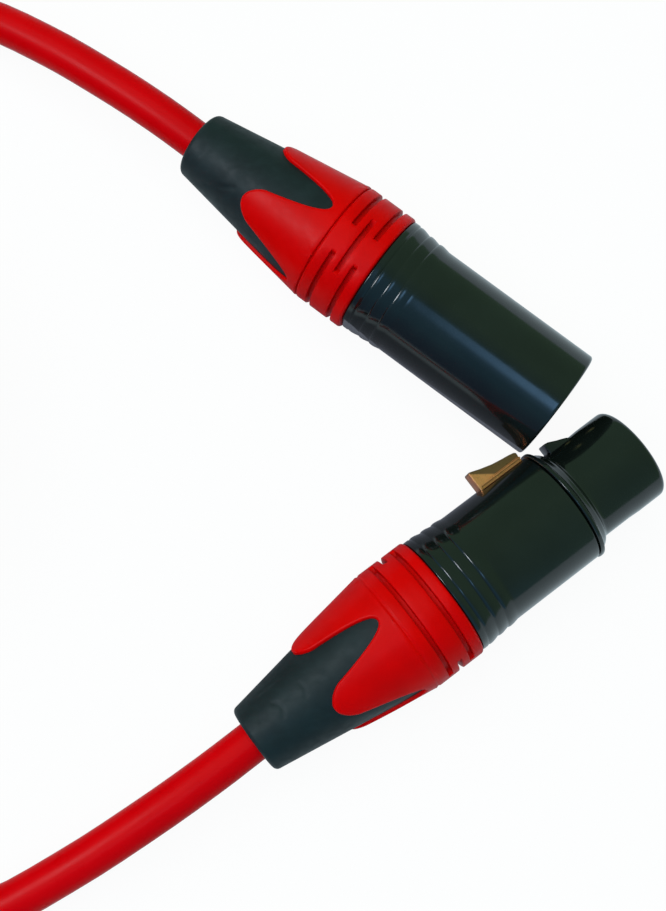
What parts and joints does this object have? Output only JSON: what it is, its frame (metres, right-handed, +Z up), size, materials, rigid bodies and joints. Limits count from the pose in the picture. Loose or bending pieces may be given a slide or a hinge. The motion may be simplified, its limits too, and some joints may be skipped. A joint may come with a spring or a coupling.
{
  "type": "instrument cable",
  "caption": "Coiled red audio cable with a male and a female round connector, screwed clamping bushings over rubber boots, and a sprung latch.",
  "frame": {"origin": "on the table, under the middle of the box round the two connectors; the free cable and its coil don't count", "axes": "+Z up; +Y from the female connector to the male one; +X towards the connectors' mating ends, away from the coil"},
  "size_m": [0.2103, 0.1602, 0.0269],
  "materials": {
    "shell_black": "gloss black plated die casting",
    "hook_black": "gloss black",
    "insert_black": "matt",
    "contact_gold": "gold plated",
    "latch_gold": "dull gold",
    "spring_steel": "bright",
    "bushing_red": "satin",
    "boot_black": "matt",
    "chuck_nylon": "natural nylon",
    "jacket_red": "smooth soft PVC",
    "core_white": "smooth",
    "core_blue": "smooth",
    "copper": "bare copper"
  },
  "bodies": {
    "lead": {"male_shell": "shell_black", "male_insert": "insert_black", "male_pin_1": "contact_gold", "male_pin_2": "contact_gold", "male_pin_3": "contact_gold", "male_cable_end": "jacket_red", "male_core_1": "core_white", "male_core_2": "core_blue", "male_drain": "copper", "female_shell": "shell_black", "female_barrel": "shell_black", "female_insert": "insert_black", "female_contact_1": "contact_gold", "female_contact_2": "contact_gold", "female_contact_3": "contact_gold", "female_latch_pin": "spring_steel", "female_cable_end": "jacket_red", "female_core_1": "core_white", "female_core_2": "core_blue", "female_drain": "copper", "cable_male_side": "jacket_red", "cable_female_side": "jacket_red", "cable_coil": "jacket_red"},
    "male_clamp": {"male_chuck": "chuck_nylon"},
    "male_cap": {"male_bushing": "bushing_red", "male_boot": "boot_black"},
    "female_clamp": {"female_chuck": "chuck_nylon"},
    "female_cap": {"female_bushing": "bushing_red", "female_boot": "boot_black"},
    "latch": {"female_latch": "latch_gold", "female_latch_hook": "hook_black", "female_latch_spring": "spring_steel"}
  },
  "joints": [
    {"name": "male_clamp_slide", "type": "slide", "parent": "lead", "child": "male_clamp", "axis": [-0.8, 0.6, 0], "range_m": [0, 0.004]},
    {"name": "male_bushing_turn", "type": "hinge", "parent": "male_clamp", "child": "male_cap", "pos_m": [-0.01035, 0.0288, 0.0105], "axis": [-0.8, 0.6, 0], "range_deg": [0, 1440]},
    {"name": "female_clamp_slide", "type": "slide", "parent": "lead", "child": "female_clamp", "axis": [-0.8, -0.6, 0], "range_m": [0, 0.004]},
    {"name": "female_bushing_turn", "type": "hinge", "parent": "female_clamp", "child": "female_cap", "pos_m": [-0.00065, -0.0288, 0.0105], "axis": [-0.8, -0.6, 0], "range_deg": [0, 1440]},
    {"name": "latch_press", "type": "hinge", "parent": "lead", "child": "latch", "pos_m": [0.01019, -0.01192, 0.0105], "axis": [0, 0, -1], "range_deg": [0, 5.7], "stiffness_Nm_per_rad": 0.15, "springref_deg": -2.86}
  ],
  "couplings": [
    {"joint": "male_clamp_slide", "follows": "male_bushing_turn", "m_per_rad": 0.00015915},
    {"joint": "female_clamp_slide", "follows": "female_bushing_turn", "m_per_rad": 0.00015915}
  ]
}
